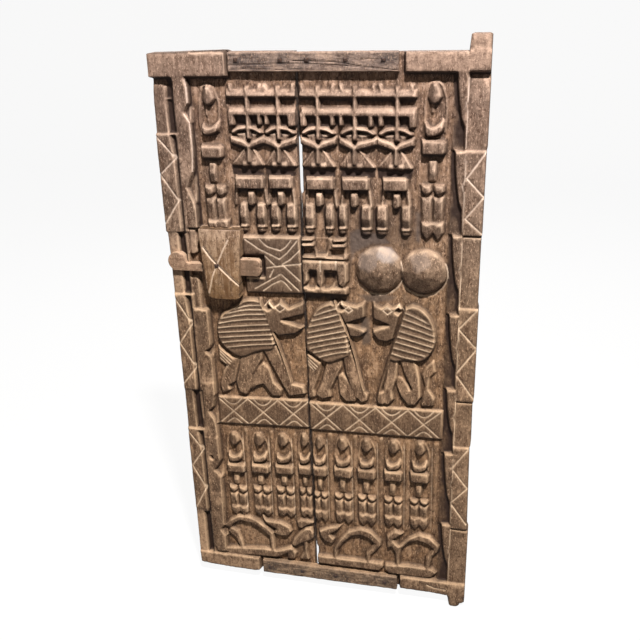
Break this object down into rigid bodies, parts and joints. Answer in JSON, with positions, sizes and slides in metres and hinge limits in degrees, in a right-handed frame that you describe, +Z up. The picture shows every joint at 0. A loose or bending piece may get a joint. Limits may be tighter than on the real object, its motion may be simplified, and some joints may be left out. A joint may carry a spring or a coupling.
{
  "type": "carved door leaf",
  "caption": "Hewn and carved wooden door leaf of two battened planks with pivot lugs and a sliding wooden bolt lock with drop tumblers.",
  "frame": {"origin": "centre of the lower pivot lug's end face", "axes": "+Z up along the pivots, +X right seen from the carved front, +Y from the carved front towards the back"},
  "size_m": [0.748, 0.066, 1.454],
  "materials": {
    "plank_wood": "weathered, hewn and carved, dry",
    "batten_wood": "weathered grey brown, dry",
    "lock_wood": "handled and slightly polished",
    "bolt_wood": "worn pale by the hand",
    "forged_iron": "hand forged, rusted dark"
  },
  "bodies": {
    "leaf": {"left_plank": "plank_wood", "right_plank": "plank_wood", "top_batten": "batten_wood", "bottom_batten": "batten_wood", "top_batten_nails": "forged_iron", "bottom_batten_nails": "forged_iron", "lock_case": "lock_wood", "lock_case_spikes": "forged_iron", "lock_case_stud": "forged_iron", "tumbler_bore_plugs": "lock_wood"},
    "bolt": {"lock_bolt": "bolt_wood"},
    "pin_1": {"tumbler_pin_1": "forged_iron"},
    "pin_2": {"tumbler_pin_2": "forged_iron"},
    "pin_3": {"tumbler_pin_3": "forged_iron"}
  },
  "joints": [
    {"name": "bolt_slide", "type": "slide", "parent": "leaf", "child": "bolt", "axis": [-1, 0, 0], "range_m": [-0.005, 0.04]},
    {"name": "pin_1_lift", "type": "slide", "parent": "leaf", "child": "pin_1", "axis": [0, 0, 1], "range_m": [0, 0.01]},
    {"name": "pin_2_lift", "type": "slide", "parent": "leaf", "child": "pin_2", "axis": [0, 0, 1], "range_m": [0, 0.01]},
    {"name": "pin_3_lift", "type": "slide", "parent": "leaf", "child": "pin_3", "axis": [0, 0, 1], "range_m": [0, 0.01]}
  ]
}
